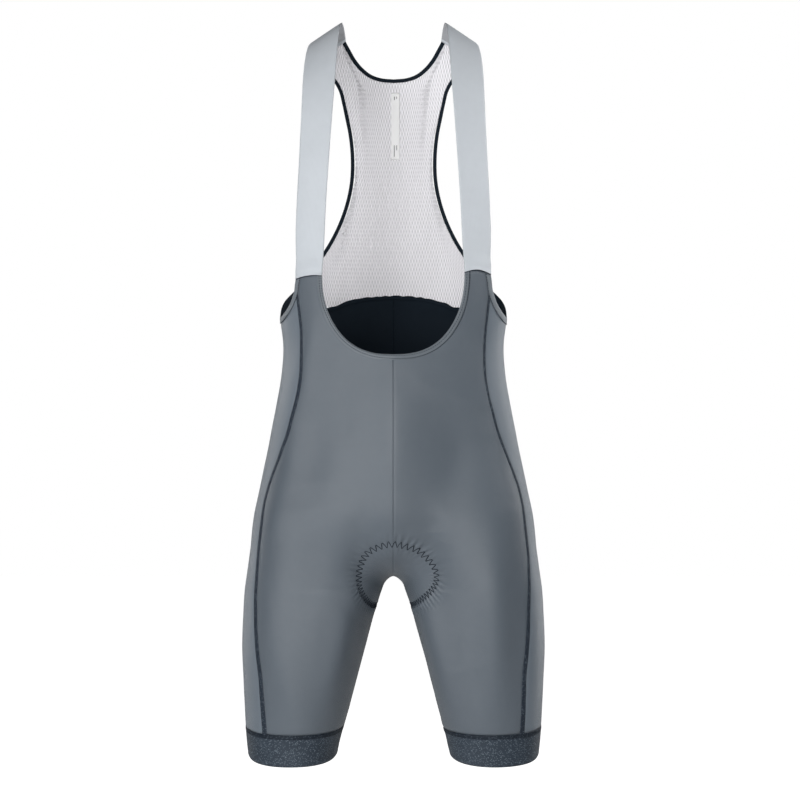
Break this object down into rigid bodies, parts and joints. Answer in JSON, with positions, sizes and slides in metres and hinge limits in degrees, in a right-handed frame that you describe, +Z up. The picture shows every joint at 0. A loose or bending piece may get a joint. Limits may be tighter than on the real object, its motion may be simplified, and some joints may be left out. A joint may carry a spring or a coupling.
{
  "type": "cycling bib shorts",
  "caption": "Stretch bib shorts held in the hollow form they have when worn, with elastic shoulder straps, a mesh back, a seat pad and leg grippers.",
  "frame": {"origin": "midway between the tops of the two shoulder straps, where the wearer's shoulders hold it", "axes": "+X to the right of someone who looks at the front, -Y the front, +Z up"},
  "size_m": [0.3622, 0.2218, 0.8834],
  "materials": {
    "main knit": "smooth matt stretch knit",
    "side knit": "smooth matt stretch knit, a little lighter",
    "strap elastic": "raw cut elastic knit",
    "back mesh": "fine open mesh",
    "dark binding": "folded elastic tape",
    "gripper elastic": "woven elastic with fine speckles",
    "seat pad": "soft foam faced with knit",
    "label": "smooth woven tape"
  },
  "bodies": {
    "root": {"armhole_binding_left": "main knit", "armhole_binding_right": "main knit", "back_armhole_binding_left": "dark binding", "back_armhole_binding_right": "dark binding", "back_neck_binding": "dark binding", "back_panel": "back mesh", "front_left": "main knit", "front_neck_binding": "main knit", "front_right": "main knit", "gripper_left": "gripper elastic", "gripper_right": "gripper elastic", "label": "label", "seat_pad": "seat pad", "side_back_left": "side knit", "side_back_right": "side knit", "strap_left": "strap elastic", "strap_right": "strap elastic"}
  },
  "joints": []
}
